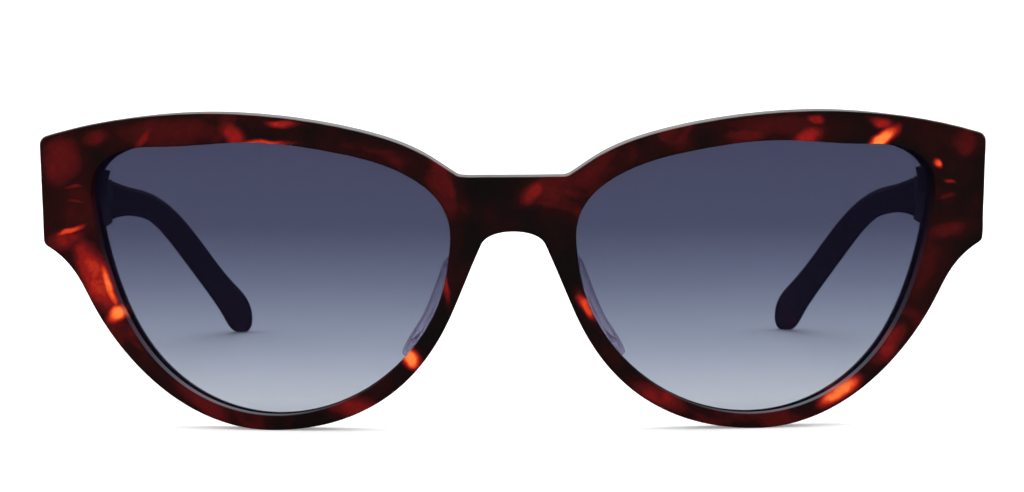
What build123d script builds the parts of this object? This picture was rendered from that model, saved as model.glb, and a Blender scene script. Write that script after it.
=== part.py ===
"""Cat eye sunglasses: an acetate front and two folding temples on screwed three-knuckle hinges.

Millimetres. The wearer looks along -Y, so +X is the wearer's left, and +Z is up. The glasses
stand open on a flat surface at z = 0, on the bottoms of the rims and the tips of the temples.
The origin is on that surface, in the mirror plane, halfway between the bridge and the tips.
"""
import os
from math import sqrt

from build123d import *

# Whole object
overall_depth = 150.0
half_width = 72.0
front_y = -overall_depth / 2  # the bridge's front face

# The front is a sheet bent round an upright axis, and its walls point at that axis
face_radius = 265.0
front_thickness = 4.8
curve_axis = (0, front_y + face_radius, 0)
blank_height = 120.0  # taller than the front

# Lenses sit in a groove between a front lip and a rear lip
front_lip = 2.0
lens_thickness = 1.9
groove_depth = 0.6
groove_clearance = 0.03

# End pieces: flat at the back, where the temples butt against them
end_face_depth = 15.45
end_block_inner_x = 61.0
end_block_bottom = 26.7
deepest = 20.0  # behind everything in the front

# Hinges
hinge_x = 63.7
hinge_depth = end_face_depth + 1.6
hinge_z = 34.2
knuckle_radius = 1.35
knuckle_height = 2.0
knuckle_gap = 0.06
leaf_thickness = 0.9
front_leaf_height = 6.0
temple_leaf_height = 4.6
front_leaf_outer_x = 69.6
temple_leaf_length = 10.5
foot_width = 2.7
foot_height = 1.1
foot_spacing = 2.3
foot_x = 67.2
foot_rise = 1.2
foot_length = 3.0
screw_radius = 0.6
screw_running_clearance = 0.05
screw_head_radius = 1.1
screw_head_height = 0.55
screw_slot = 0.3

# Temples
temple_gap = 0.15
temple_inner_x = 63.3
temple_start = end_face_depth + temple_gap
temple_rounding = 1.1
tip_radius = 2.3
hinge_notch = 1.95
core_radius = 0.8

# Nose pads
pad_start_depth = 3.0
pad_end_depth = 10.4

# Ornament on the wearer's right end piece
plaque_height = 2.5
plaque_length = 3.9
plaque_sink = 0.6
plaque_proud = 0.12
plaque_z = 37.6
plaque_depth = 12.5

# Half outlines, as (distance from the mirror plane, height), read on the front face
bridge_top = 38.5
bridge_half_length = 8.2
bridge_corner_radius = 2.5
bridge_seat_depth = 0.03  # a shallow flat, cut where a clip-on shade rests
bridge_seat_length = 14.0
brow = [(13.7, 41.95), (22.7, 45.2), (34, 47.25), (46, 48.0), (59.5, 46.95)]
brow_outer = (72.2, 44.0)
end_piece_bottom = (71.7, 27.8)
rounded_corners = [(*brow_outer, 1.4), (*end_piece_bottom, 1.1),
                   (bridge_half_length, bridge_top, bridge_corner_radius)]
lower_rim = [(69.0, 25.95), (66.7, 23.35), (64.3, 19.05), (57.3, 9.5), (48.0, 2.65), (37, 0)]
nose_rim = [(27.05, 1.35), (18.0, 6.0), (11.5, 13.5), (7.35, 22.35)]
arch_side = (4.85, 28.1)
arch_top = (0, 30.1)
lens_opening = [(9.5, 28.3), (11.3, 34.8), (17.3, 39.2), (27.3, 42.1), (40, 43.5), (52.4, 42.8),
                (60.6, 41.6), (63.7, 38.5), (63.9, 33.8), (61.8, 24.2), (56.2, 12.5),
                (47.2, 4.9), (36.6, 2.3), (27.5, 3.8), (17.2, 10.4), (11.3, 19.3)]

# Nose pad: where it is glued to the rim, and the smaller, splayed outline of its rear face
pad_root = [(7.9, 24.2), (9.5, 19.5), (11.8, 15.2), (14.6, 12.0), (17.0, 10.9),
            (16.2, 13.0), (14.1, 16.2), (12.4, 19.7), (10.9, 23.8), (9.2, 26.2)]
pad_rear = [(9.6, 23.4), (10.9, 19.4), (12.8, 15.6), (14.8, 12.9), (16.3, 12.1),
            (15.6, 14.1), (13.9, 17.0), (12.5, 20.2), (11.2, 23.4), (10.2, 25.0)]

# Temple seen from the side, as (distance behind the bridge, height)
temple_top = [(temple_start, 38.2), (40, 35.5), (66, 32.9), (90, 30.4), (102, 28.0), (115, 23.6),
              (128, 17.3), (142, 9.7), (overall_depth, tip_radius)]
temple_bottom = [(overall_depth - tip_radius, 0), (142.5, 2.9), (136, 7.6), (124, 14.6),
                 (112, 20.6), (100, 24.7), (90, 26.2), (66, 28.2), (40, 29.5), (temple_start, 29.8)]
# The same temple seen from above, as (distance from the mirror plane, distance behind the bridge)
temple_inner = [(temple_inner_x, 70), (62.4, 92), (59.0, 115), (55.6, 130), (49.8, overall_depth)]
temple_outer = [(53.0, overall_depth), (59.2, 130), (62.7, 115), (66.2, 92), (67.0, 70),
                (67.8, 45), (70.4, temple_start)]
core_path = [(67.0, temple_start, 34.0), (65.5, 50, 31.9), (64.6, 90, 28.3), (60.9, 115, 22.0),
             (57.4, 130, 14.0), (54.5, 140, 8.2)]


def section_point(x, z, depth):
    """Where the level line from the curve's axis through a point of the face meets this depth."""
    return (x * (face_radius - depth) / sqrt(face_radius**2 - x**2), z)


def grown(points, amount):
    """The points of a closed outline, each moved outwards."""
    loop = Spline(*points, periodic=True, mode=Mode.PRIVATE)
    moved = []
    for point in points:
        tangent = loop.tangent_at(loop.param_at_point(Vector(*point)))
        moved.append((point[0] - amount * tangent.Y, point[1] + amount * tangent.X))
    return moved


def front_outline(depth):
    """The whole front seen from ahead: flat bridge, brow, end piece, rim and nose arch."""
    bridge_end = section_point(bridge_half_length, bridge_top, depth)
    outer_top = section_point(*brow_outer, depth)
    outer_bottom = section_point(*end_piece_bottom, depth)
    side_of_arch = section_point(*arch_side, depth)
    top_of_arch = section_point(*arch_top, depth)
    with BuildLine() as outline:
        Line((0, bridge_end[1]), bridge_end)
        Spline(bridge_end, *[section_point(x, z, depth) for x, z in brow], outer_top,
               tangents=[(1, 0.62), (1, -0.3)], tangent_scalars=(1, 1))
        Line(outer_top, outer_bottom)
        Spline(outer_bottom, *[section_point(x, z, depth) for x, z in lower_rim],
               tangents=[(-1, -0.5), (-1, 0)], tangent_scalars=(1, 1))
        Spline(section_point(*lower_rim[-1], depth),
               *[section_point(x, z, depth) for x, z in nose_rim], side_of_arch,
               tangents=[(-1, 0), (-0.45, 1)], tangent_scalars=(1, 1))
        Spline(side_of_arch, top_of_arch, tangents=[(-0.45, 1), (-1, 0)], tangent_scalars=(1, 1))
        mirror(about=Plane.YZ)
    return outline.line


def closed_outline(points, depth):
    with BuildLine() as outline:
        Spline(*[section_point(x, z, depth) for x, z in points], periodic=True)
    return outline.line


def radial_solid(draw, near, far, corners=()):
    """The solid between two depths whose walls all point at the axis of the face curve."""
    with BuildPart() as solid:
        for depth in (near, far):
            with BuildSketch(Plane.XZ.offset(-front_y - depth)) as section:
                make_face(draw(depth).edges())
                for x, z, radius in corners:
                    for side in (1, -1):
                        corner = Vector(*section_point(side * x, z, depth))
                        fillet(section.vertices().sort_by_distance(corner)[0], radius)
        loft(ruled=True)
    return solid.part


def behind_hinge(edge):
    return (edge @ 0.5).Y > front_y + temple_start + hinge_notch


# ---------------------------------------------------------------- lenses
def lens_solid(edge, skin):
    """A lens blank: edge is how far it reaches into the rim, skin is added to both faces."""
    outline = grown(lens_opening, edge)
    with BuildPart() as blank:
        add(radial_solid(lambda depth: closed_outline(outline, depth), -1, deepest))
        with Locations(curve_axis):
            Cylinder(face_radius - front_lip + skin, blank_height, mode=Mode.INTERSECT)
            Cylinder(face_radius - front_lip - lens_thickness - skin, blank_height,
                     mode=Mode.SUBTRACT)
    return blank.part


with BuildPart() as lens_left:
    add(lens_solid(groove_depth, 0))

with BuildPart() as lens_right:
    mirror(lens_left.part, about=Plane.YZ)

# ---------------------------------------------------------------- nose pads
with BuildPart() as nose_pad_left:
    for depth, points in ((pad_start_depth, pad_root), (pad_end_depth, pad_rear)):
        with BuildSketch(Plane.XZ.offset(-front_y - depth)):
            make_face(closed_outline(points, depth).edges())
    loft(ruled=True)
    with Locations(curve_axis):
        Cylinder(face_radius - front_thickness, blank_height, mode=Mode.INTERSECT)

with BuildPart() as nose_pad_right:
    mirror(nose_pad_left.part, about=Plane.YZ)

# ---------------------------------------------------------------- hinges
hinge_y = front_y + hinge_depth
leaf_y = front_y + end_face_depth
knuckle_pitch = knuckle_height + knuckle_gap
hinge_top = hinge_z + knuckle_pitch + knuckle_height / 2

with BuildPart() as hinge_screw_left:
    with Locations((hinge_x, hinge_y, hinge_top)):
        Cylinder(screw_radius, hinge_top - hinge_z + 1.5 * knuckle_height,
                 align=(Align.CENTER, Align.CENTER, Align.MAX))
        Cylinder(screw_head_radius, screw_head_height, align=(Align.CENTER, Align.CENTER, Align.MIN))
    with Locations((hinge_x, hinge_y, hinge_top + screw_head_height)):
        Box(3 * screw_head_radius, screw_slot, screw_head_height, mode=Mode.SUBTRACT)

with BuildPart() as front_hinge_left:
    with Locations((hinge_x - knuckle_radius, leaf_y, hinge_z)):
        Box(front_leaf_outer_x - hinge_x + knuckle_radius, leaf_thickness, front_leaf_height,
            align=(Align.MIN, Align.MAX, Align.CENTER))
    with Locations(*[(foot_x, leaf_y - leaf_thickness, hinge_z + foot_rise + side * foot_spacing / 2)
                     for side in (1, -1)]):
        Box(foot_width, foot_length, foot_height, align=(Align.CENTER, Align.MAX, Align.CENTER))
    for side in (1, -1):
        with Locations((hinge_x, leaf_y, hinge_z + side * knuckle_pitch)):
            Box(2 * knuckle_radius, hinge_y - leaf_y, knuckle_height,
                align=(Align.CENTER, Align.MIN, Align.CENTER))
        with Locations((hinge_x, hinge_y, hinge_z + side * knuckle_pitch)):
            Cylinder(knuckle_radius, knuckle_height)
            Cylinder(screw_radius, knuckle_height, mode=Mode.SUBTRACT)

with BuildPart() as temple_hinge_left:
    with Locations((hinge_x, hinge_y, hinge_z)):
        Cylinder(knuckle_radius, knuckle_height)
        Box(leaf_thickness + temple_inner_x - hinge_x, hinge_notch + leaf_thickness, knuckle_height,
            align=(Align.MIN, Align.MIN, Align.CENTER))
    with Locations((temple_inner_x, hinge_y + hinge_notch, hinge_z)):
        Box(leaf_thickness, temple_leaf_length, temple_leaf_height,
            align=(Align.MIN, Align.MIN, Align.CENTER))
    with Locations((hinge_x, hinge_y, hinge_z)):
        Cylinder(screw_radius + screw_running_clearance, knuckle_height, mode=Mode.SUBTRACT)

# ---------------------------------------------------------------- temples
with BuildPart() as temple_core_left:
    with BuildLine():
        core_line = Spline(*[(x, front_y + depth, z) for x, depth, z in core_path])
    with BuildSketch(Plane(origin=core_line @ 0, z_dir=core_line % 0)):
        Circle(core_radius)
    sweep()

with BuildPart() as temple_left:
    with BuildSketch(Plane.YZ):
        with BuildLine():
            Spline(*[(front_y + depth, z) for depth, z in temple_top],
                   tangents=[(1, -0.12), (0, -1)], tangent_scalars=(1, 1))
            RadiusArc((front_y + overall_depth, tip_radius),
                      (front_y + overall_depth - tip_radius, 0), tip_radius)
            Spline(*[(front_y + depth, z) for depth, z in temple_bottom],
                   tangents=[(-1, 0), (-1, 0)], tangent_scalars=(1, 1))
            Line((front_y + temple_start, temple_bottom[-1][1]),
                 (front_y + temple_start, temple_top[0][1]))
        make_face()
    extrude(amount=half_width)
    with BuildSketch(Plane.XY):
        with BuildLine():
            Line((temple_inner_x, front_y + temple_start), (temple_inner_x, front_y + temple_inner[0][1]))
            Spline(*[(x, front_y + depth) for x, depth in temple_inner],
                   tangents=[(0, 1), (-0.28, 1)], tangent_scalars=(1, 1))
            Line((temple_inner[-1][0], front_y + overall_depth),
                 (temple_outer[0][0], front_y + overall_depth))
            Spline(*[(x, front_y + depth) for x, depth in temple_outer])
            Line((temple_outer[-1][0], front_y + temple_start),
                 (temple_inner_x, front_y + temple_start))
        make_face()
    extrude(amount=half_width, mode=Mode.INTERSECT)
    fillet(temple_left.edges().filter_by(behind_hinge), temple_rounding)
    add(temple_hinge_left.part, mode=Mode.SUBTRACT)
    add(temple_core_left.part, mode=Mode.SUBTRACT)
    with Locations((hinge_x + hinge_notch, hinge_y + hinge_notch, 0)):
        Box(half_width, overall_depth, overall_depth, align=(Align.MAX, Align.MAX, Align.CENTER),
            mode=Mode.SUBTRACT)

with BuildPart() as hinge_screw_right:
    mirror(hinge_screw_left.part, about=Plane.YZ)

with BuildPart() as front_hinge_right:
    mirror(front_hinge_left.part, about=Plane.YZ)

with BuildPart() as temple_hinge_right:
    mirror(temple_hinge_left.part, about=Plane.YZ)

with BuildPart() as temple_core_right:
    mirror(temple_core_left.part, about=Plane.YZ)

with BuildPart() as temple_right:
    mirror(temple_left.part, about=Plane.YZ)

# ---------------------------------------------------------------- front
# The right end piece's side wall points at the axis of the face curve, like every wall
wall_slope = half_width / sqrt(face_radius**2 - half_width**2)
wall_x = section_point(half_width, plaque_z, plaque_depth)[0]
plaque_wall = Plane(origin=(-wall_x, front_y + plaque_depth, plaque_z), x_dir=(wall_slope, 1, 0),
                    z_dir=(-1, wall_slope, 0))

with BuildPart() as side_plaque_right:
    with BuildSketch(plaque_wall):
        SlotOverall(plaque_length, plaque_height)
    extrude(amount=plaque_proud)
    with BuildSketch(plaque_wall):
        SlotOverall(plaque_length, plaque_height)
    extrude(amount=-plaque_sink)

with BuildPart() as hollow_behind:
    with Locations(curve_axis):
        Cylinder(face_radius - front_thickness, blank_height)
    for side, edge in ((1, Align.MIN), (-1, Align.MAX)):
        with Locations((side * end_block_inner_x, front_y, end_block_bottom)):
            Box(half_width, overall_depth, blank_height, align=(edge, Align.CENTER, Align.MIN),
                mode=Mode.SUBTRACT)

lens_hole = radial_solid(lambda depth: closed_outline(lens_opening, depth), -1, deepest)
lens_groove = lens_solid(groove_depth + groove_clearance, groove_clearance)

with BuildPart() as front_frame:
    add(radial_solid(front_outline, -1, end_face_depth, rounded_corners))
    with Locations(curve_axis):
        Cylinder(face_radius, blank_height, mode=Mode.INTERSECT)
    add(hollow_behind.part, mode=Mode.SUBTRACT)
    add(lens_hole, mode=Mode.SUBTRACT)
    mirror(lens_hole, about=Plane.YZ, mode=Mode.SUBTRACT)
    add(lens_groove, mode=Mode.SUBTRACT)
    mirror(lens_groove, about=Plane.YZ, mode=Mode.SUBTRACT)
    add(front_hinge_left.part, mode=Mode.SUBTRACT)
    add(front_hinge_right.part, mode=Mode.SUBTRACT)
    add(side_plaque_right.part, mode=Mode.SUBTRACT)
    with Locations((0, front_y, bridge_top - bridge_seat_depth)):
        Box(bridge_seat_length, 3 * front_thickness, front_thickness,
            align=(Align.CENTER, Align.CENTER, Align.MIN), mode=Mode.SUBTRACT)

# ---------------------------------------------------------------- names and files
front_frame.part.label = "front_frame"
lens_left.part.label = "lens_left"
lens_right.part.label = "lens_right"
nose_pad_left.part.label = "nose_pad_left"
nose_pad_right.part.label = "nose_pad_right"
front_hinge_left.part.label = "front_hinge_left"
front_hinge_right.part.label = "front_hinge_right"
hinge_screw_left.part.label = "hinge_screw_left"
hinge_screw_right.part.label = "hinge_screw_right"
temple_hinge_left.part.label = "temple_hinge_left"
temple_hinge_right.part.label = "temple_hinge_right"
temple_left.part.label = "temple_left"
temple_right.part.label = "temple_right"
temple_core_left.part.label = "temple_core_left"
temple_core_right.part.label = "temple_core_right"
side_plaque_right.part.label = "side_plaque_right"

os.makedirs("parts", exist_ok=True)
export_step(front_frame.part, "parts/front_frame.step")
export_step(lens_left.part, "parts/lens_left.step")
export_step(lens_right.part, "parts/lens_right.step")
export_step(nose_pad_left.part, "parts/nose_pad_left.step")
export_step(nose_pad_right.part, "parts/nose_pad_right.step")
export_step(front_hinge_left.part, "parts/front_hinge_left.step")
export_step(front_hinge_right.part, "parts/front_hinge_right.step")
export_step(hinge_screw_left.part, "parts/hinge_screw_left.step")
export_step(hinge_screw_right.part, "parts/hinge_screw_right.step")
export_step(temple_hinge_left.part, "parts/temple_hinge_left.step")
export_step(temple_hinge_right.part, "parts/temple_hinge_right.step")
export_step(temple_left.part, "parts/temple_left.step")
export_step(temple_right.part, "parts/temple_right.step")
export_step(temple_core_left.part, "parts/temple_core_left.step")
export_step(temple_core_right.part, "parts/temple_core_right.step")
export_step(side_plaque_right.part, "parts/side_plaque_right.step")
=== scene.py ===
"""Cat eye sunglasses: the looks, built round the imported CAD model.

Metres, in the CAD frame: +X is the wearer's left, the wearer looks along -Y, +Z is up.
The temples, hinges, screws, cores and plaque are the CAD's own solids with better materials.
The front, the lenses and the nose pads are new meshes that follow the CAD solids' outlines.
"""
import math

import bmesh
import bpy
import numpy as np
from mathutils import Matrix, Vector
from mathutils.geometry import delaunay_2d_cdt
from mathutils.kdtree import KDTree


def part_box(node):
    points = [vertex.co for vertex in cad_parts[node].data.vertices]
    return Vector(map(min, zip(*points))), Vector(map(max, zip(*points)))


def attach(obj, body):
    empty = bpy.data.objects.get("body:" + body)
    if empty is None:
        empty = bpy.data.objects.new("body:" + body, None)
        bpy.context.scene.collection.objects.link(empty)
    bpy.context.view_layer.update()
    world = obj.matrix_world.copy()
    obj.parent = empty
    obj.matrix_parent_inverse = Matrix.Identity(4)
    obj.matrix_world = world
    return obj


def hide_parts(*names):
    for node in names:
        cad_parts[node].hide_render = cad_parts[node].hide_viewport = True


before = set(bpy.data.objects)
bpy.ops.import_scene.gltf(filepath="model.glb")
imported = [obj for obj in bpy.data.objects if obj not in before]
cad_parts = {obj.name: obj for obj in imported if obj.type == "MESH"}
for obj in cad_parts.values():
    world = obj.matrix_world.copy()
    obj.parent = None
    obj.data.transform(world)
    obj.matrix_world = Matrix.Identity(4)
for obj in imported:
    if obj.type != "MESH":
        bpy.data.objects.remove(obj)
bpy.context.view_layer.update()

MM = 0.001

# The front is a sheet bent round an upright axis. Flat coordinates on it are
# (arc length s, height z, depth t behind the forward face).
FACE_RADIUS = 265 * MM
AXIS_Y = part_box("front_frame")[0].y + FACE_RADIUS
THICKNESS = 4.8 * MM
LENS_FRONT = 2.0 * MM
LENS_BACK = 3.9 * MM
GROOVE_DEPTH = 0.6 * MM

# The end pieces are thicker: flat behind, a hair ahead of the hinge leaves let into them
LEAF_PROUD = 0.03 * MM
END_FACE_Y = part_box("front_frame")[1].y - LEAF_PROUD
END_INNER = (62.9 * MM, 64.0 * MM)
END_BOTTOM = (26.8 * MM, 27.9 * MM)

# Above and below the hinge the end pieces are cut back behind the rim by this much
END_RELIEF = 3.6 * MM
HINGE_FOOT = (29.6 * MM, 30.8 * MM)
HINGE_HEAD = (38.4 * MM, 39.6 * MM)

# How finely the meshes are drawn
ARC_STEPS = 6
RIM_STEP = 0.2 * MM
CAP_STEP = 1.5 * MM
CAP_CLEAR = 0.45 * MM
RAMP_STEP = 0.25 * MM
RAMP_MARGIN = 0.3 * MM

# Rounding of the edges
OUTER_FRONT_EDGE = 0.55 * MM
OUTER_REAR_EDGE = 0.5 * MM
OPENING_FRONT_EDGE = 0.3 * MM
OPENING_REAR_EDGE = 0.35 * MM
LENS_EDGE = 0.12 * MM

# The groove in the acetate is a hair larger than the edge of the lens in it
GROOVE_GAP = 0.03 * MM
GROOVE = GROOVE_DEPTH + GROOVE_GAP
GROOVE_FRONT = LENS_FRONT - GROOVE_GAP
GROOVE_BACK = LENS_BACK + GROOVE_GAP

# A nose pad has a domed end, and flares over the first part of its height where it meets the rim
PAD_POINTS = 160
PAD_WALL_RINGS = 16
PAD_DOME_RINGS = 8
PAD_DOME = 1.0 * MM
PAD_DOME_INSET = 0.85 * MM
PAD_FLARE = 0.35 * MM
PAD_FLARE_SHARE = 0.25
PAD_SINK = 0.1 * MM
PAD_RING_STEP = 0.05 * MM

# The lens tint is given up to this height, in millimetres, for a floor of this rendered brightness
TINT_TOP = 45.0
FLOOR_BRIGHTNESS = 1.2

CAMERA_AHEAD = 530 * MM
CAMERA_HEIGHT = 69.99 * MM
CAMERA_DOWN = 4.53
CAMERA_ROLL = 0.25
FOCAL_LENGTH = 124.85


# ------------------------------------------------------------------ outlines taken from the CAD
def boundary_loops(node, chosen):
    """The closed loops round the faces of a CAD node that chosen(face) picks, longest first."""
    mesh = bmesh.new()
    mesh.from_mesh(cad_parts[node].data)
    bmesh.ops.remove_doubles(mesh, verts=mesh.verts, dist=1e-6)
    uses = {}
    for face in mesh.faces:
        if chosen(face):
            for edge in face.edges:
                uses[edge] = uses.get(edge, 0) + 1
    following = {}
    for edge in (edge for edge, count in uses.items() if count == 1):
        first, second = edge.verts
        following.setdefault(first, []).append(second)
        following.setdefault(second, []).append(first)
    loops = []
    unused = set(following)
    while unused:
        vert = min(unused, key=lambda v: v.index)
        loop = []
        while vert is not None:
            unused.discard(vert)
            loop.append(tuple(vert.co))
            vert = next((v for v in following[vert] if v in unused), None)
        loops.append(np.array(loop))
    mesh.free()
    return sorted(loops, key=lambda loop: -np.ptp(loop[:, 0]) * len(loop))


def signed_area(loop):
    """The area inside a flat loop, positive when it turns anticlockwise."""
    following = np.roll(loop, -1, axis=0)
    return 0.5 * np.sum(loop[:, 0] * following[:, 1] - following[:, 0] * loop[:, 1])


def smooth_loop(points, step, shortest=0.1 * MM, longest=3.0 * MM):
    """A closed cubic spline through the points, read at even steps."""
    kept = [points[0]]
    for point in points[1:]:
        if np.linalg.norm(point - kept[-1]) > shortest:
            kept.append(point)
    if np.linalg.norm(kept[-1] - kept[0]) < shortest:
        kept.pop()
    dense = []
    for point, following in zip(kept, kept[1:] + kept[:1]):
        pieces = max(1, math.ceil(np.linalg.norm(following - point) / longest))
        dense += [point + (following - point) * i / pieces for i in range(pieces)]
    knots = np.array(dense)
    gaps = np.linalg.norm(np.roll(knots, -1, axis=0) - knots, axis=1)
    count = len(knots)
    matrix = np.zeros((count, count))
    right = np.zeros_like(knots)
    for i in range(count):
        before, after = gaps[i - 1], gaps[i]
        matrix[i, i - 1] += before
        matrix[i, i] += 2 * (before + after)
        matrix[i, (i + 1) % count] += after
        right[i] = 6 * ((knots[(i + 1) % count] - knots[i]) / after
                        - (knots[i] - knots[i - 1]) / before)
    bends = np.linalg.solve(matrix, right)
    starts = np.concatenate([[0], np.cumsum(gaps)])
    along = np.linspace(0, starts[-1], math.ceil(starts[-1] / step), endpoint=False)
    span = np.clip(np.searchsorted(starts, along, side="right") - 1, 0, count - 1)
    following = (span + 1) % count
    gap = gaps[span][:, None]
    b = ((along - starts[span])[:, None]) / gap
    a = 1 - b
    return (a * knots[span] + b * knots[following]
            + ((a**3 - a) * bends[span] + (b**3 - b) * bends[following]) * gap**2 / 6)


def flat(points):
    """Points of the forward face as (arc length, height)."""
    return np.stack([FACE_RADIUS * np.arcsin(points[:, 0] / FACE_RADIUS), points[:, 2]], axis=1)


def on_forward_face(face):
    """Is this triangle on the front's forward face?"""
    radial = Vector((face.verts[0].co.x, face.verts[0].co.y - AXIS_Y, 0)).normalized()
    near = all(abs(math.hypot(v.co.x, v.co.y - AXIS_Y) - FACE_RADIUS) < 1e-5 for v in face.verts)
    return near and face.normal.dot(radial) > 0.9


def inward(loop):
    """The unit normals on the left of a closed loop."""
    along = np.roll(loop, -1, axis=0) - np.roll(loop, 1, axis=0)
    along /= np.linalg.norm(along, axis=1)[:, None]
    return np.stack([-along[:, 1], along[:, 0]], axis=1)


def inside(points, loops):
    """Which points lie inside an odd number of the loops."""
    odd = np.zeros(len(points), bool)
    for loop in loops:
        following = np.roll(loop, -1, axis=0)
        for start in range(0, len(points), 2000):
            part = points[start:start + 2000, None, :]
            crosses = (loop[:, 1] > part[..., 1]) != (following[:, 1] > part[..., 1])
            rise = following[:, 1] - loop[:, 1]
            rise = np.where(np.abs(rise) < 1e-12, 1e-12, rise)
            meets = loop[:, 0] + (part[..., 1] - loop[:, 1]) * (following[:, 0] - loop[:, 0]) / rise
            odd[start:start + 2000] ^= (np.sum(crosses & (part[..., 0] < meets), axis=1) % 2).astype(bool)
    return odd


# ------------------------------------------------------------------ meshes bent round the face curve
def bent(s, z, t):
    """Points of the flat sheet in their places on the bent one."""
    angle = s / FACE_RADIUS
    reach = FACE_RADIUS - t
    return np.stack([reach * np.sin(angle), AXIS_Y - reach * np.cos(angle), z + 0 * s], axis=-1)


def bent_direction(s, along, up, back):
    """A direction given in the flat sheet's axes, turned into the bent sheet's place."""
    angle = s / FACE_RADIUS
    turned = np.stack([along * np.cos(angle) - back * np.sin(angle),
                       along * np.sin(angle) + back * np.cos(angle), up + 0 * s], axis=-1)
    return turned / np.linalg.norm(turned, axis=-1)[..., None]


def front_arc(radius):
    """Profile points (inset, depth, from the back?, inward normal, backward normal)."""
    angles = np.linspace(0, math.pi / 2, ARC_STEPS + 1)
    return [(radius * (1 - math.sin(a)), radius * (1 - math.cos(a)), False, -math.sin(a), -math.cos(a))
            for a in angles]


def rear_arc(radius):
    """The same as front_arc, for the rear edge."""
    angles = np.linspace(0, math.pi / 2, ARC_STEPS + 1)
    return [(radius * (1 - math.cos(a)), -radius * (1 - math.sin(a)), True, -math.cos(a), math.sin(a))
            for a in angles]


def even_points(loops, step, clear, extra=()):
    """Points filling the area between the loops, with extra (box, step) grids, clear of the loops."""
    corners = np.concatenate(loops)
    low, high = corners.min(axis=0), corners.max(axis=0)
    grids = [((low[0], low[1], high[0], high[1]), step), *extra]
    found = []
    for (left, bottom, right, top), pitch in grids:
        across = np.arange(left + 0.37 * pitch, right, pitch)
        up = np.arange(bottom + 0.41 * pitch, top, pitch)
        grid = np.stack(np.meshgrid(across, up), axis=-1).reshape(-1, 2)
        grid[:, 0] += 0.5 * pitch * (np.round(grid[:, 1] / pitch) % 2)
        found.append(grid)
    points = np.concatenate(found)
    points = points[inside(points, loops)]
    tree = KDTree(len(corners))
    for i, corner in enumerate(corners):
        tree.insert((corner[0], corner[1], 0), i)
    tree.balance()
    return points[[tree.find((p[0], p[1], 0))[2] > clear for p in points]]


class BentMesh:
    """Collects the points, faces and corner normals of a closed solid bent round the face curve."""

    def __init__(self, front_depth, back_depth):
        self.front_depth = front_depth
        self.back_depth = back_depth
        self.points = []
        self.faces = []
        self.normals = []

    def add_points(self, s, z, t):
        """Adds a row of points and returns their numbers."""
        first = sum(len(block) for block in self.points)
        self.points.append(bent(s, z, t))
        return np.arange(first, first + len(s))

    def walls(self, loops, runs):
        """Sweeps the profile runs round every loop; returns the first and last rings."""
        ends = []
        for loop in loops:
            normal = inward(loop)
            rings = []
            last = None
            for run in runs:
                previous = None
                for inset, depth, at_back, n_in, n_back in run:
                    if last is not None and last[0] == (inset, depth, at_back):
                        ring, flat_ring = last[1], last[2]
                    else:
                        flat_ring = loop + inset * normal
                        t = depth + (self.back_depth(flat_ring) if at_back else self.front_depth)
                        ring = self.add_points(flat_ring[:, 0], flat_ring[:, 1], t)
                    turned = bent_direction(flat_ring[:, 0], n_in * normal[:, 0],
                                            n_in * normal[:, 1], n_back)
                    if previous is not None:
                        self.strip(previous, (ring, turned))
                    previous = (ring, turned)
                    last = ((inset, depth, at_back), ring, flat_ring)
                    rings.append((ring, flat_ring))
            ends.append((rings[0], rings[-1]))
        return ends

    def strip(self, front_ring, back_ring):
        """A closed band of faces between two rings, each given with its normals."""
        (a, normal_a), (b, normal_b) = front_ring, back_ring
        for i in range(len(a)):
            j = (i + 1) % len(a)
            self.faces.append((a[i], b[i], b[j], a[j]))
            self.normals += [normal_a[i], normal_b[i], normal_b[j], normal_a[j]]

    def cap(self, rings, forward, extra=()):
        """Fills the area between the end rings, at the front or at the back."""
        outlines = [flat_ring for _, flat_ring in rings]
        rim_index = np.concatenate([ring for ring, _ in rings])
        inner = even_points(outlines, CAP_STEP, CAP_CLEAR, extra)
        every = np.concatenate(outlines + [inner])
        links = []
        first = 0
        for outline in outlines:
            links += [(first + i, first + (i + 1) % len(outline)) for i in range(len(outline))]
            first += len(outline)
        scaled = [Vector(p / MM) for p in every]
        out, _, triangles, origin, _, _ = delaunay_2d_cdt(scaled, links, [], 0, 1e-5)
        spots = np.array([tuple(v) for v in out]) * MM
        index = np.full(len(out), -1)
        for i, sources in enumerate(origin):
            rim = [source for source in sources if source < first]
            if rim:
                index[i] = rim_index[rim[0]]
        new = np.flatnonzero(index < 0)
        depth = np.full(len(new), self.front_depth) if forward else self.back_depth(spots[new])
        index[new] = self.add_points(spots[new, 0], spots[new, 1], depth)
        if forward:
            normals = bent_direction(spots[:, 0], 0 * spots[:, 0], 0 * spots[:, 0], -1.0)
        else:
            reach = 0.05 * MM
            slope = [(self.back_depth(spots + step) - self.back_depth(spots - step)) / (2 * reach)
                     for step in (np.array([reach, 0]), np.array([0, reach]))]
            normals = bent_direction(spots[:, 0], -slope[0], -slope[1], 1.0)
        centres = np.array([spots[list(triangle)].mean(axis=0) for triangle in triangles])
        for triangle, wanted in zip(triangles, inside(centres, outlines)):
            if wanted:
                corners = list(triangle) if forward else list(triangle)[::-1]
                self.faces.append(tuple(index[c] for c in corners))
                self.normals += [normals[c] for c in corners]

    def object(self, name):
        """The finished mesh as an object in the scene."""
        mesh = bpy.data.meshes.new(name)
        mesh.from_pydata(np.concatenate(self.points).tolist(), [],
                         [tuple(int(i) for i in face) for face in self.faces])
        mesh.polygons.foreach_set("use_smooth", [True] * len(mesh.polygons))
        mesh.normals_split_custom_set([tuple(n) for n in self.normals])
        piece = bpy.data.objects.new(name, mesh)
        bpy.context.scene.collection.objects.link(piece)
        return piece


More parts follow.
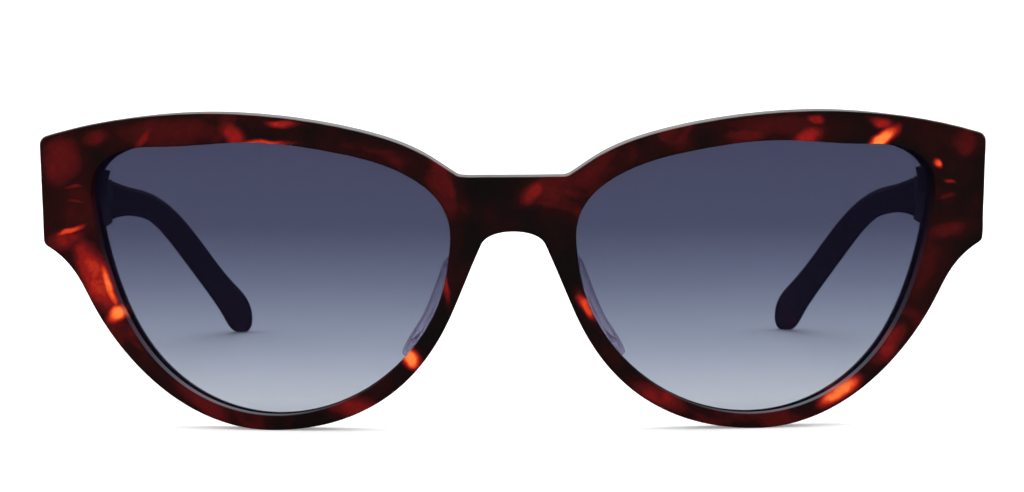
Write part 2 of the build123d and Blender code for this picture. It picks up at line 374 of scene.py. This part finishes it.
def smoothstep(value, start, end):
    """0 up to start, 1 from end on, and an S-curve between them."""
    share = np.clip((value - start) / (end - start), 0, 1)
    return share * share * (3 - 2 * share)


def front_thickness(points):
    """How deep the front is: the sheet, rising to the flat back of the end pieces."""
    s, z = points[:, 0], points[:, 1]
    to_end_face = FACE_RADIUS - (AXIS_Y - END_FACE_Y) / np.cos(s / FACE_RADIUS)
    cut_back = END_RELIEF * (1 - smoothstep(z, *HINGE_FOOT) + smoothstep(z, *HINGE_HEAD))
    share = smoothstep(np.abs(s) - cut_back, *END_INNER) * smoothstep(z, *END_BOTTOM)
    return THICKNESS + share * (to_end_face - THICKNESS)


def lens_back(points):
    """How deep the back of a lens is: the same everywhere."""
    return np.full(len(points), LENS_BACK)


face_loops = [flat(loop) for loop in boundary_loops("front_frame", on_forward_face)]
face_loops = [loop if (signed_area(loop) > 0) == (i == 0) else loop[::-1]
              for i, loop in enumerate(face_loops[:3])]
face_loops = [smooth_loop(loop, RIM_STEP) for loop in face_loops]
openings = {"left": max(face_loops[1:], key=lambda loop: loop[:, 0].mean()),
            "right": min(face_loops[1:], key=lambda loop: loop[:, 0].mean())}


def ramp_boxes():
    """Where the front's back rises to the end pieces, as (left, bottom, right, top)."""
    inner, end = END_INNER
    low, level = END_BOTTOM
    half_width, high = face_loops[0].max(axis=0)
    boxes = []
    for side in (-1, 1):
        left, right = sorted((side * (inner - RAMP_MARGIN), side * (end + END_RELIEF + RAMP_MARGIN)))
        boxes.append((left, low - RAMP_MARGIN, right, high))
        left, right = sorted((side * inner, side * half_width))
        boxes.append((left, low - RAMP_MARGIN, right, level + RAMP_MARGIN))
    return boxes


def build_front():
    """The acetate front: its rounded outer edge, two grooved openings and thick end pieces."""
    solid = BentMesh(0.0, front_thickness)
    ends = solid.walls(face_loops[:1], [front_arc(OUTER_FRONT_EDGE) + rear_arc(OUTER_REAR_EDGE)])
    opening_front = front_arc(OPENING_FRONT_EDGE) + [(0, GROOVE_FRONT, False, -1, 0)]
    groove = [[(0, GROOVE_FRONT, False, 0, 1), (GROOVE, GROOVE_FRONT, False, 0, 1)],
              [(GROOVE, GROOVE_FRONT, False, -1, 0), (GROOVE, GROOVE_BACK, False, -1, 0)],
              [(GROOVE, GROOVE_BACK, False, 0, -1), (0, GROOVE_BACK, False, 0, -1)]]
    opening_back = [(0, GROOVE_BACK, False, -1, 0)] + rear_arc(OPENING_REAR_EDGE)
    ends += solid.walls(face_loops[1:], [opening_front, *groove, opening_back])
    solid.cap([front for front, _ in ends], True)
    solid.cap([back for _, back in ends], False, [(box, RAMP_STEP) for box in ramp_boxes()])
    return solid.object("acetate_front")


def build_lens(side):
    """A lens blank with its edge in the rim's groove."""
    rim = openings[side][::-1]
    edge = rim - GROOVE_DEPTH * inward(rim)
    solid = BentMesh(LENS_FRONT, lens_back)
    ends = solid.walls([edge], [front_arc(LENS_EDGE) + rear_arc(LENS_EDGE)])
    solid.cap([front for front, _ in ends], True)
    solid.cap([back for _, back in ends], False)
    return solid.object(f"tinted_lens_{side}")


# ------------------------------------------------------------------ nose pads
def even_ring(loop, count):
    """A closed loop read at even steps from its highest point, always turning the same way."""
    if signed_area(loop[:, [0, 2]]) < 0:
        loop = loop[::-1]
    smooth = smooth_loop(loop, PAD_RING_STEP)
    smooth = np.roll(smooth, -int(np.argmax(smooth[:, 2])), axis=0)
    return smooth[np.linspace(0, len(smooth), count, endpoint=False).astype(int)]


def build_pad(side):
    """A nose pad: the CAD's lofted wedge, flared where it joins the rim and domed where it rests."""
    node = f"nose_pad_{side}"
    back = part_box(node)[1].y
    root_radius = FACE_RADIUS - THICKNESS

    def at_back(face):
        return all(abs(v.co.y - back) < 1e-6 for v in face.verts)

    def at_root(face):
        near = all(abs(math.hypot(v.co.x, v.co.y - AXIS_Y) - root_radius) < 1e-5 for v in face.verts)
        return near and face.normal.y < -0.8

    root = even_ring(boundary_loops(node, at_root)[0], PAD_POINTS)
    rear = even_ring(boundary_loops(node, at_back)[0], PAD_POINTS)
    around = np.roll(rear, -1, axis=0) - np.roll(rear, 1, axis=0)
    around /= np.linalg.norm(around, axis=1)[:, None]
    to_middle = np.stack([-around[:, 2], 0 * around[:, 0], around[:, 0]], axis=1)
    dome_share = PAD_DOME / (back - root[:, 1].mean())
    rings = []
    for share in np.linspace(0, 1 - dome_share, PAD_WALL_RINGS):
        ring = root + (rear - root) * share
        rings.append(ring - to_middle * PAD_FLARE * max(0, 1 - share / PAD_FLARE_SHARE) ** 2)
    rings[0][:, 1] -= PAD_SINK
    for angle in np.linspace(0, math.pi / 2, PAD_DOME_RINGS + 1)[1:]:
        ring = root + (rear - root) * (1 - dome_share * (1 - math.sin(angle)))
        rings.append(ring + to_middle * PAD_DOME_INSET * (1 - math.cos(angle)))
    mesh = bmesh.new()
    rows = [[mesh.verts.new(p) for p in ring] for ring in rings]
    for lower, upper in zip(rows, rows[1:]):
        for i in range(PAD_POINTS):
            j = (i + 1) % PAD_POINTS
            mesh.faces.new((lower[i], upper[i], upper[j], lower[j]))
    for row in (rows[0], rows[-1]):
        edges = [mesh.edges.get((row[i], row[(i + 1) % PAD_POINTS])) for i in range(PAD_POINTS)]
        bmesh.ops.triangle_fill(mesh, edges=edges, use_beauty=True)
    bmesh.ops.recalc_face_normals(mesh, faces=mesh.faces)
    for face in mesh.faces:
        face.smooth = True
    data = bpy.data.meshes.new(f"glued_nose_pad_{side}")
    mesh.to_mesh(data)
    mesh.free()
    piece = bpy.data.objects.new(data.name, data)
    bpy.context.scene.collection.objects.link(piece)
    return piece


# ------------------------------------------------------------------ materials
class Nodes:
    """An emptied node tree; node() makes a node in it, links its inputs and returns it."""

    def __init__(self, tree):
        self.tree = tree
        tree.nodes.clear()

    def node(self, kind, inputs=None, **settings):
        made = self.tree.nodes.new(kind)
        for key, value in settings.items():
            setattr(made, key, value)
        for key, value in (inputs or {}).items():
            socket = made.inputs[key]
            if isinstance(value, bpy.types.NodeSocket):
                self.tree.links.new(value, socket)
            else:
                socket.default_value = value
        return made

    def math(self, operation, first, second=0.0, clamp=False):
        return self.node("ShaderNodeMath", {0: first, 1: second}, operation=operation,
                         use_clamp=clamp).outputs[0]

    def ramp(self, factor, stops, interpolation="LINEAR"):
        made = self.node("ShaderNodeValToRGB", {"Fac": factor})
        ramp = made.color_ramp
        ramp.interpolation = interpolation
        while len(ramp.elements) > 1:
            ramp.elements.remove(ramp.elements[0])
        for i, (position, colour) in enumerate(stops):
            element = ramp.elements[0] if i == 0 else ramp.elements.new(position)
            element.position = position
            element.color = (*colour, 1)
        return made.outputs["Color"]

    def noise(self, vector, scale, detail=2.0, roughness=0.5, distortion=0.0):
        return self.node("ShaderNodeTexNoise", {"Vector": vector, "Scale": scale, "Detail": detail,
                                                "Roughness": roughness, "Distortion": distortion})

    def vector_math(self, operation, first, inputs):
        return self.node("ShaderNodeVectorMath", {0: first, **inputs}, operation=operation).outputs[0]

    def pushed(self, vector, noise, reach):
        """The vector moved about by a noise, by up to half of reach each way."""
        centred = self.vector_math("SUBTRACT", noise.outputs["Color"], {1: (0.5, 0.5, 0.5)})
        push = self.vector_math("SCALE", centred, {3: reach})
        return self.vector_math("ADD", vector, {1: push})


class Material(Nodes):
    """A node material under construction."""

    def __init__(self, name):
        self.material = bpy.data.materials.new(name)
        self.material.use_nodes = True
        super().__init__(self.material.node_tree)
        self.output = self.node("ShaderNodeOutputMaterial")

    def millimetres(self):
        """The object's own coordinates, in millimetres."""
        place = self.node("ShaderNodeTexCoord").outputs["Object"]
        return self.vector_math("SCALE", place, {3: 1 / MM})

    def surface(self, socket):
        """Links the finished shader to the output and returns the material."""
        self.tree.links.new(socket, self.output.inputs["Surface"])
        return self.material


def linear(*srgb):
    """An 0-255 sRGB colour as linear light."""
    return tuple(c / 255 / 12.92 if c <= 10.3 else ((c / 255 + 0.055) / 1.055) ** 2.4 for c in srgb)


TORTOISE = [(0.0, linear(14, 8, 8)), (0.26, linear(34, 7, 7)), (0.45, linear(76, 9, 10)),
            (0.62, linear(132, 15, 10)), (0.8, linear(205, 56, 16)), (1.0, linear(255, 124, 52))]

# Colour clouds on the front, as (x, z, half length, half width, turn in degrees, strength)
CLOUDS = [(-68.5, 40.6, 6.0, 5.0, 70, 0.44), (-66.6, 36.7, 2.4, 0.5, 0, 0.47),
          (-66.6, 34.3, 2.4, 0.5, 0, 0.45), (-67.4, 30.0, 3.6, 0.8, 21, 0.8),
          (-68.0, 28.6, 4.5, 2.6, 10, 0.52), (-63.2, 22.8, 9.5, 3.6, 119, 0.66),
          (-61.4, 21.6, 6.0, 1.2, 112, 0.86), (-60.2, 17.4, 2.8, 1.8, 25, 1.0),
          (-55.8, 43.8, 3.6, 1.4, 50, 0.5), (-63.0, 44.0, 4.0, 2.0, 10, 0.42),
          (-42.2, 44.6, 4.2, 2.4, -50, 0.58), (-38.0, 43.2, 7.0, 0.8, 2, 0.74),
          (-34.6, 46.2, 4.2, 1.0, 0, 0.62), (-9.6, 34.5, 4.0, 3.0, 100, 0.34),
          (3.0, 36.0, 3.2, 2.2, 30, 0.54), (12.4, 39.8, 8.0, 2.4, 38, 0.35),
          (56.0, 43.4, 4.0, 1.7, 42, 1.0), (55.8, 46.1, 3.2, 1.2, -15, 0.6),
          (44.2, 43.9, 4.0, 2.2, 30, 0.6), (45.5, 46.7, 2.2, 1.1, 0, 0.56),
          (35.3, 44.3, 6.0, 1.8, 4, 0.42), (68.6, 43.0, 3.6, 3.4, 0, 0.38),
          (64.3, 39.4, 1.4, 0.9, -50, 0.78), (66.4, 36.8, 1.6, 0.5, 0, 0.56),
          (66.0, 34.6, 2.4, 0.5, 0, 0.38), (66.0, 29.5, 6.0, 2.4, 10, 0.38),
          (10.9, 18.7, 3.6, 0.9, -62, 0.78), (-10.4, 23.0, 5.0, 0.8, 100, 0.6),
          (-15.4, 11.2, 2.9, 1.9, -38, 0.98), (-24.0, 3.6, 9.0, 3.0, -20, 0.5),
          (-47.0, 4.4, 9.0, 3.0, -35, 0.44), (49.4, 5.3, 5.2, 2.2, 32, 0.95),
          (57.0, 12.5, 6.0, 2.6, 52, 0.5), (22.0, 5.0, 7.0, 2.6, -25, 0.5),
          (-52.0, 45.0, 15.0, 4.0, 4, 0.36), (40.0, 45.6, 15.0, 3.2, -3, 0.34),
          (-66.0, 33.0, 9.0, 7.0, 90, 0.3), (62.0, 24.0, 12.0, 5.0, 65, 0.31)]


# How far noise moves the broad wash and the clouds' edges, and how deep a cloud reaches
BROAD_WANDER = 6.0
CLOUD_WANDER = 2.2
THROUGH = 1000.0


def acetate(name, clouds, wash=0.4, drift=(0, 0, 0)):
    """Polished cellulose acetate: near-black with red and amber clouds, under a clear gloss."""
    m = Material(name)
    place = m.millimetres()
    shifted = m.vector_math("ADD", place, {1: drift})
    broad = m.noise(m.pushed(shifted, m.noise(shifted, 0.11, 2.0, 0.5), BROAD_WANDER),
                    0.085, 4.0, 0.5, 0.6).outputs["Fac"]
    torn = m.pushed(place, m.noise(place, 0.22, 2.0, 0.45, 0.3), CLOUD_WANDER)
    amount = m.node("ShaderNodeMapRange", {"Value": broad, "From Min": 0.4, "From Max": 0.72,
                                           "To Min": 0.0, "To Max": wash},
                    interpolation_type="SMOOTHSTEP").outputs[0]
    for x, z, length, width, turn, strength in clouds:
        local = m.node("ShaderNodeMapping", {"Vector": torn, "Location": (x, 0, z),
                                             "Rotation": (0, -math.radians(turn), 0),
                                             "Scale": (length, THROUGH, width)},
                       vector_type="TEXTURE")
        away = m.node("ShaderNodeVectorMath", {0: local.outputs[0]}, operation="LENGTH").outputs["Value"]
        cloud = m.node("ShaderNodeMapRange", {"Value": away, "From Min": 0.2, "From Max": 1.25,
                                              "To Min": strength, "To Max": 0.0},
                       interpolation_type="SMOOTHSTEP").outputs[0]
        amount = m.math("MAXIMUM", amount, cloud)
    fine = m.noise(shifted, 0.6, 4.0, 0.6).outputs["Fac"]
    mottle = m.node("ShaderNodeMath", {0: fine, 1: 0.5, 2: 0.75}, operation="MULTIPLY_ADD").outputs[0]
    amount = m.math("MULTIPLY", amount, mottle, clamp=True)
    colour = m.ramp(amount, TORTOISE)
    polish = m.noise(place, 0.9, 5.0, 0.6)
    roughness = m.node("ShaderNodeMapRange", {"Value": polish.outputs["Fac"], "To Min": 0.1,
                                              "To Max": 0.2}).outputs[0]
    bump = m.node("ShaderNodeBump", {"Strength": 0.03, "Distance": 0.00005,
                                     "Height": polish.outputs["Fac"]}).outputs[0]
    shader = m.node("ShaderNodeBsdfPrincipled", {
        "Base Color": colour, "Roughness": roughness, "IOR": 1.49, "Specular IOR Level": 0.5,
        "Coat Weight": 0.35, "Coat Roughness": 0.04, "Normal": bump})
    return m.surface(shader.outputs[0])


# What a pale floor looks like through the lens, by height: even at the top, then ever paler
LENS_TINTS = [(4.0, (171, 177, 186)), (12.0, (132, 139, 156)), (22.0, (90, 97, 117)),
              (30.5, (64, 67, 88)), (43.0, (61, 64, 85))]


def tinted_glass():
    """A graded grey-violet sun lens with a slight haze: each of its two faces takes half of the tint."""
    m = Material("graded_lens_tint")
    place = m.millimetres()
    height = m.node("ShaderNodeSeparateXYZ", {0: place}).outputs["Z"]
    grain = m.noise(place, 0.05, 1.0).outputs["Fac"]
    wavy = m.math("ADD", height, m.math("MULTIPLY", m.math("SUBTRACT", grain, 0.5), 0.8))
    share = m.node("ShaderNodeMapRange", {"Value": wavy, "From Min": 0.0, "From Max": TINT_TOP})
    stops = [(z / TINT_TOP, tuple(math.sqrt(c / FLOOR_BRIGHTNESS) for c in linear(*colour)))
             for z, colour in LENS_TINTS]
    tint = m.ramp(share.outputs[0], stops)
    clear = m.node("ShaderNodeBsdfTransparent", {"Color": tint}).outputs[0]
    gloss = m.node("ShaderNodeBsdfGlossy", {"Color": (0.9, 0.92, 1.0, 1), "Roughness": 0.02}).outputs[0]
    leaving = m.node("ShaderNodeNewGeometry").outputs["Backfacing"]
    index = m.node("ShaderNodeMapRange", {"Value": leaving, "To Min": 1.45, "To Max": 1 / 1.45})
    fresnel = m.node("ShaderNodeFresnel", {"IOR": index.outputs[0]}).outputs[0]
    mixed = m.node("ShaderNodeMixShader", {0: fresnel, 1: clear, 2: gloss}).outputs[0]
    haze = m.node("ShaderNodeBsdfDiffuse", {"Color": (0.004, 0.0033, 0.0085, 1)}).outputs[0]
    return m.surface(m.node("ShaderNodeAddShader", {0: mixed, 1: haze}).outputs[0])


def pad_plastic():
    """Cloudy clear acetate with a grey-violet cast, denser where it is seen edge-on."""
    m = Material("pad_cloudy_acetate")
    place = m.millimetres()
    cloud = m.noise(place, 0.35, 4.0, 0.6)
    colour = m.ramp(cloud.outputs["Fac"], [(0.35, linear(96, 84, 112)), (0.65, linear(126, 112, 140))])
    bump = m.node("ShaderNodeBump", {"Strength": 0.04, "Distance": 0.00005,
                                     "Height": m.noise(place, 2.5, 3.0).outputs["Fac"]}).outputs[0]
    shader = m.node("ShaderNodeBsdfPrincipled", {
        "Base Color": colour, "Roughness": 0.22, "IOR": 1.49, "Subsurface Weight": 0.25,
        "Subsurface Radius": (0.002, 0.0012, 0.0014), "Normal": bump}).outputs[0]
    clear = m.node("ShaderNodeBsdfTransparent", {"Color": (0.9, 0.84, 0.9, 1)}).outputs[0]
    rim = m.node("ShaderNodeLayerWeight", {"Blend": 0.35}).outputs["Facing"]
    body = m.node("ShaderNodeMapRange", {"Value": rim, "From Min": 0.3, "From Max": 0.95,
                                         "To Min": 0.06, "To Max": 0.62}).outputs[0]
    return m.surface(m.node("ShaderNodeMixShader", {0: body, 1: clear, 2: shader}).outputs[0])


def metal(name, dark, light, roughness, grain):
    """Brushed or rolled metal with fine streaks and slightly uneven polish."""
    m = Material(name)
    place = m.millimetres()
    stretched = m.node("ShaderNodeMapping", {"Vector": place, "Scale": grain}).outputs[0]
    streaks = m.noise(stretched, 1.0, 4.0, 0.6).outputs["Fac"]
    colour = m.ramp(streaks, [(0.3, dark), (0.7, light)])
    rough = m.node("ShaderNodeMapRange", {"Value": streaks, "To Min": roughness[0],
                                          "To Max": roughness[1]}).outputs[0]
    bump = m.node("ShaderNodeBump", {"Strength": 0.15, "Distance": 0.00002, "Height": streaks}).outputs[0]
    shader = m.node("ShaderNodeBsdfPrincipled", {"Base Color": colour, "Metallic": 1.0,
                                                 "Roughness": rough, "Normal": bump})
    return m.surface(shader.outputs[0])


def paint(node, material):
    """Gives a CAD node this material in every slot."""
    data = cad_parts[node].data
    for i in range(len(data.materials)):
        data.materials[i] = material


FRONT_ACETATE = acetate("front_tortoise_acetate", CLOUDS)
TEMPLE_ACETATE = acetate("temple_tortoise_acetate", [], 0.34, (31, 11, 7))
LENS = tinted_glass()
PAD = pad_plastic()
HINGE_METAL = metal("hinge_brushed_nickel", linear(150, 148, 146), linear(206, 203, 198),
                    (0.2, 0.42), (0.6, 9.0, 0.6))
SCREW_METAL = metal("screw_turned_steel", linear(165, 163, 160), linear(222, 220, 216),
                    (0.16, 0.34), (5.0, 5.0, 0.8))
CORE_METAL = metal("core_drawn_wire", linear(140, 139, 137), linear(190, 188, 185),
                   (0.25, 0.45), (4.0, 0.4, 4.0))
PLAQUE_METAL = metal("plaque_gilt", linear(196, 142, 54), linear(250, 212, 120),
                     (0.12, 0.28), (1.0, 7.0, 1.0))

front = build_front()
front.data.materials.append(FRONT_ACETATE)
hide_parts("front_frame")
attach(front, "front")

for side in ("left", "right"):
    lens = build_lens(side)
    lens.data.materials.append(LENS)
    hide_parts(f"lens_{side}")
    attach(lens, "front")
    pad = build_pad(side)
    pad.data.materials.append(PAD)
    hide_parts(f"nose_pad_{side}")
    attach(pad, "front")
    paint(f"temple_{side}", TEMPLE_ACETATE)
    paint(f"temple_hinge_{side}", HINGE_METAL)
    paint(f"front_hinge_{side}", HINGE_METAL)
    paint(f"hinge_screw_{side}", SCREW_METAL)
    paint(f"temple_core_{side}", CORE_METAL)
paint("side_plaque_right", PLAQUE_METAL)


# ------------------------------------------------------------------ studio
FLOOR_REACH = 14.0
FLOOR_GLOW = 0.28
ROOM = 1.5


def build_floor():
    """A wide pale floor; mirror-like surfaces see it as a painted dark reflection instead of its pale
    self.
    """
    mesh = bpy.data.meshes.new("studio_floor")
    corners = [(-1, -1), (1, -1), (1, 1), (-1, 1)]
    mesh.from_pydata([(x * FLOOR_REACH, y * FLOOR_REACH, 0) for x, y in corners], [], [(0, 1, 2, 3)])
    floor = bpy.data.objects.new("studio_floor", mesh)
    bpy.context.scene.collection.objects.link(floor)
    m = Material("pale_floor")
    hidden = m.node("ShaderNodeLightPath").outputs["Is Glossy Ray"]
    cloth = m.node("ShaderNodeBsdfDiffuse", {"Color": (0.92, 0.92, 0.92, 1)}).outputs[0]
    glow = m.node("ShaderNodeEmission", {"Color": (1, 1, 1, 1), "Strength": FLOOR_GLOW}).outputs[0]
    pale = m.node("ShaderNodeAddShader", {0: cloth, 1: glow}).outputs[0]
    # Painted reflection: glossy rays see the floor as near-black, so polished faces show a painted dark
    # reflection where the pale floor would shine
    dark = m.node("ShaderNodeBsdfDiffuse", {"Color": (0.01, 0.01, 0.012, 1)}).outputs[0]
    floor.data.materials.append(m.surface(
        m.node("ShaderNodeMixShader", {0: hidden, 1: pale, 2: dark}).outputs[0]))


def build_world():
    """White all round, but in mirror-like surfaces dark ahead of the glasses and near the ground."""
    world = bpy.data.worlds.new("studio")
    bpy.context.scene.world = world
    world.use_nodes = True
    w = Nodes(world.node_tree)
    place = w.node("ShaderNodeTexCoord").outputs["Generated"]
    direction = w.node("ShaderNodeSeparateXYZ", {0: place}).outputs
    behind = w.node("ShaderNodeMapRange", {"Value": direction["Y"], "From Min": -0.15,
                                           "From Max": 0.25, "To Min": 0.015, "To Max": ROOM})
    above = w.node("ShaderNodeMapRange", {"Value": direction["Z"], "From Min": 0.0,
                                          "From Max": 0.3, "To Min": 0.08, "To Max": 1.0})
    mirrored = w.math("MULTIPLY", behind.outputs[0], above.outputs[0])
    paths = w.node("ShaderNodeLightPath").outputs
    lit = w.node("ShaderNodeMix", {"Factor": paths["Is Glossy Ray"], "A": ROOM, "B": mirrored},
                 data_type="FLOAT").outputs["Result"]
    seen = w.node("ShaderNodeMix", {"Factor": paths["Is Camera Ray"], "A": lit, "B": 1.0},
                  data_type="FLOAT").outputs["Result"]
    background = w.node("ShaderNodeBackground", {"Strength": seen}).outputs[0]
    w.node("ShaderNodeOutputWorld", {"Surface": background})


def build_softbox():
    """A large soft lamp over the glasses and a little behind them."""
    lamp = bpy.data.lights.new("overhead_softbox", "AREA")
    lamp.shape = "RECTANGLE"
    lamp.size = 0.7
    lamp.size_y = 0.45
    lamp.energy = 2.0
    softbox = bpy.data.objects.new("overhead_softbox", lamp)
    softbox.location = (0, 0.12, 0.75)
    softbox.rotation_euler = (math.radians(-8), 0, 0)
    bpy.context.scene.collection.objects.link(softbox)


def build_camera():
    """A long lens straight ahead of the bridge, looking slightly down."""
    lens = bpy.data.cameras.new("camera")
    lens.sensor_width = 36
    lens.lens = FOCAL_LENGTH
    lens.clip_start = 0.01
    lens.clip_end = 50
    camera = bpy.data.objects.new("camera", lens)
    camera.location = (0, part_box("front_frame")[0].y - CAMERA_AHEAD, CAMERA_HEIGHT)
    camera.rotation_euler = (math.radians(90 - CAMERA_DOWN), math.radians(CAMERA_ROLL), 0)
    bpy.context.scene.collection.objects.link(camera)
    bpy.context.scene.camera = camera


build_floor()
build_world()
build_softbox()
build_camera()
bpy.context.scene.view_settings.view_transform = "Standard"
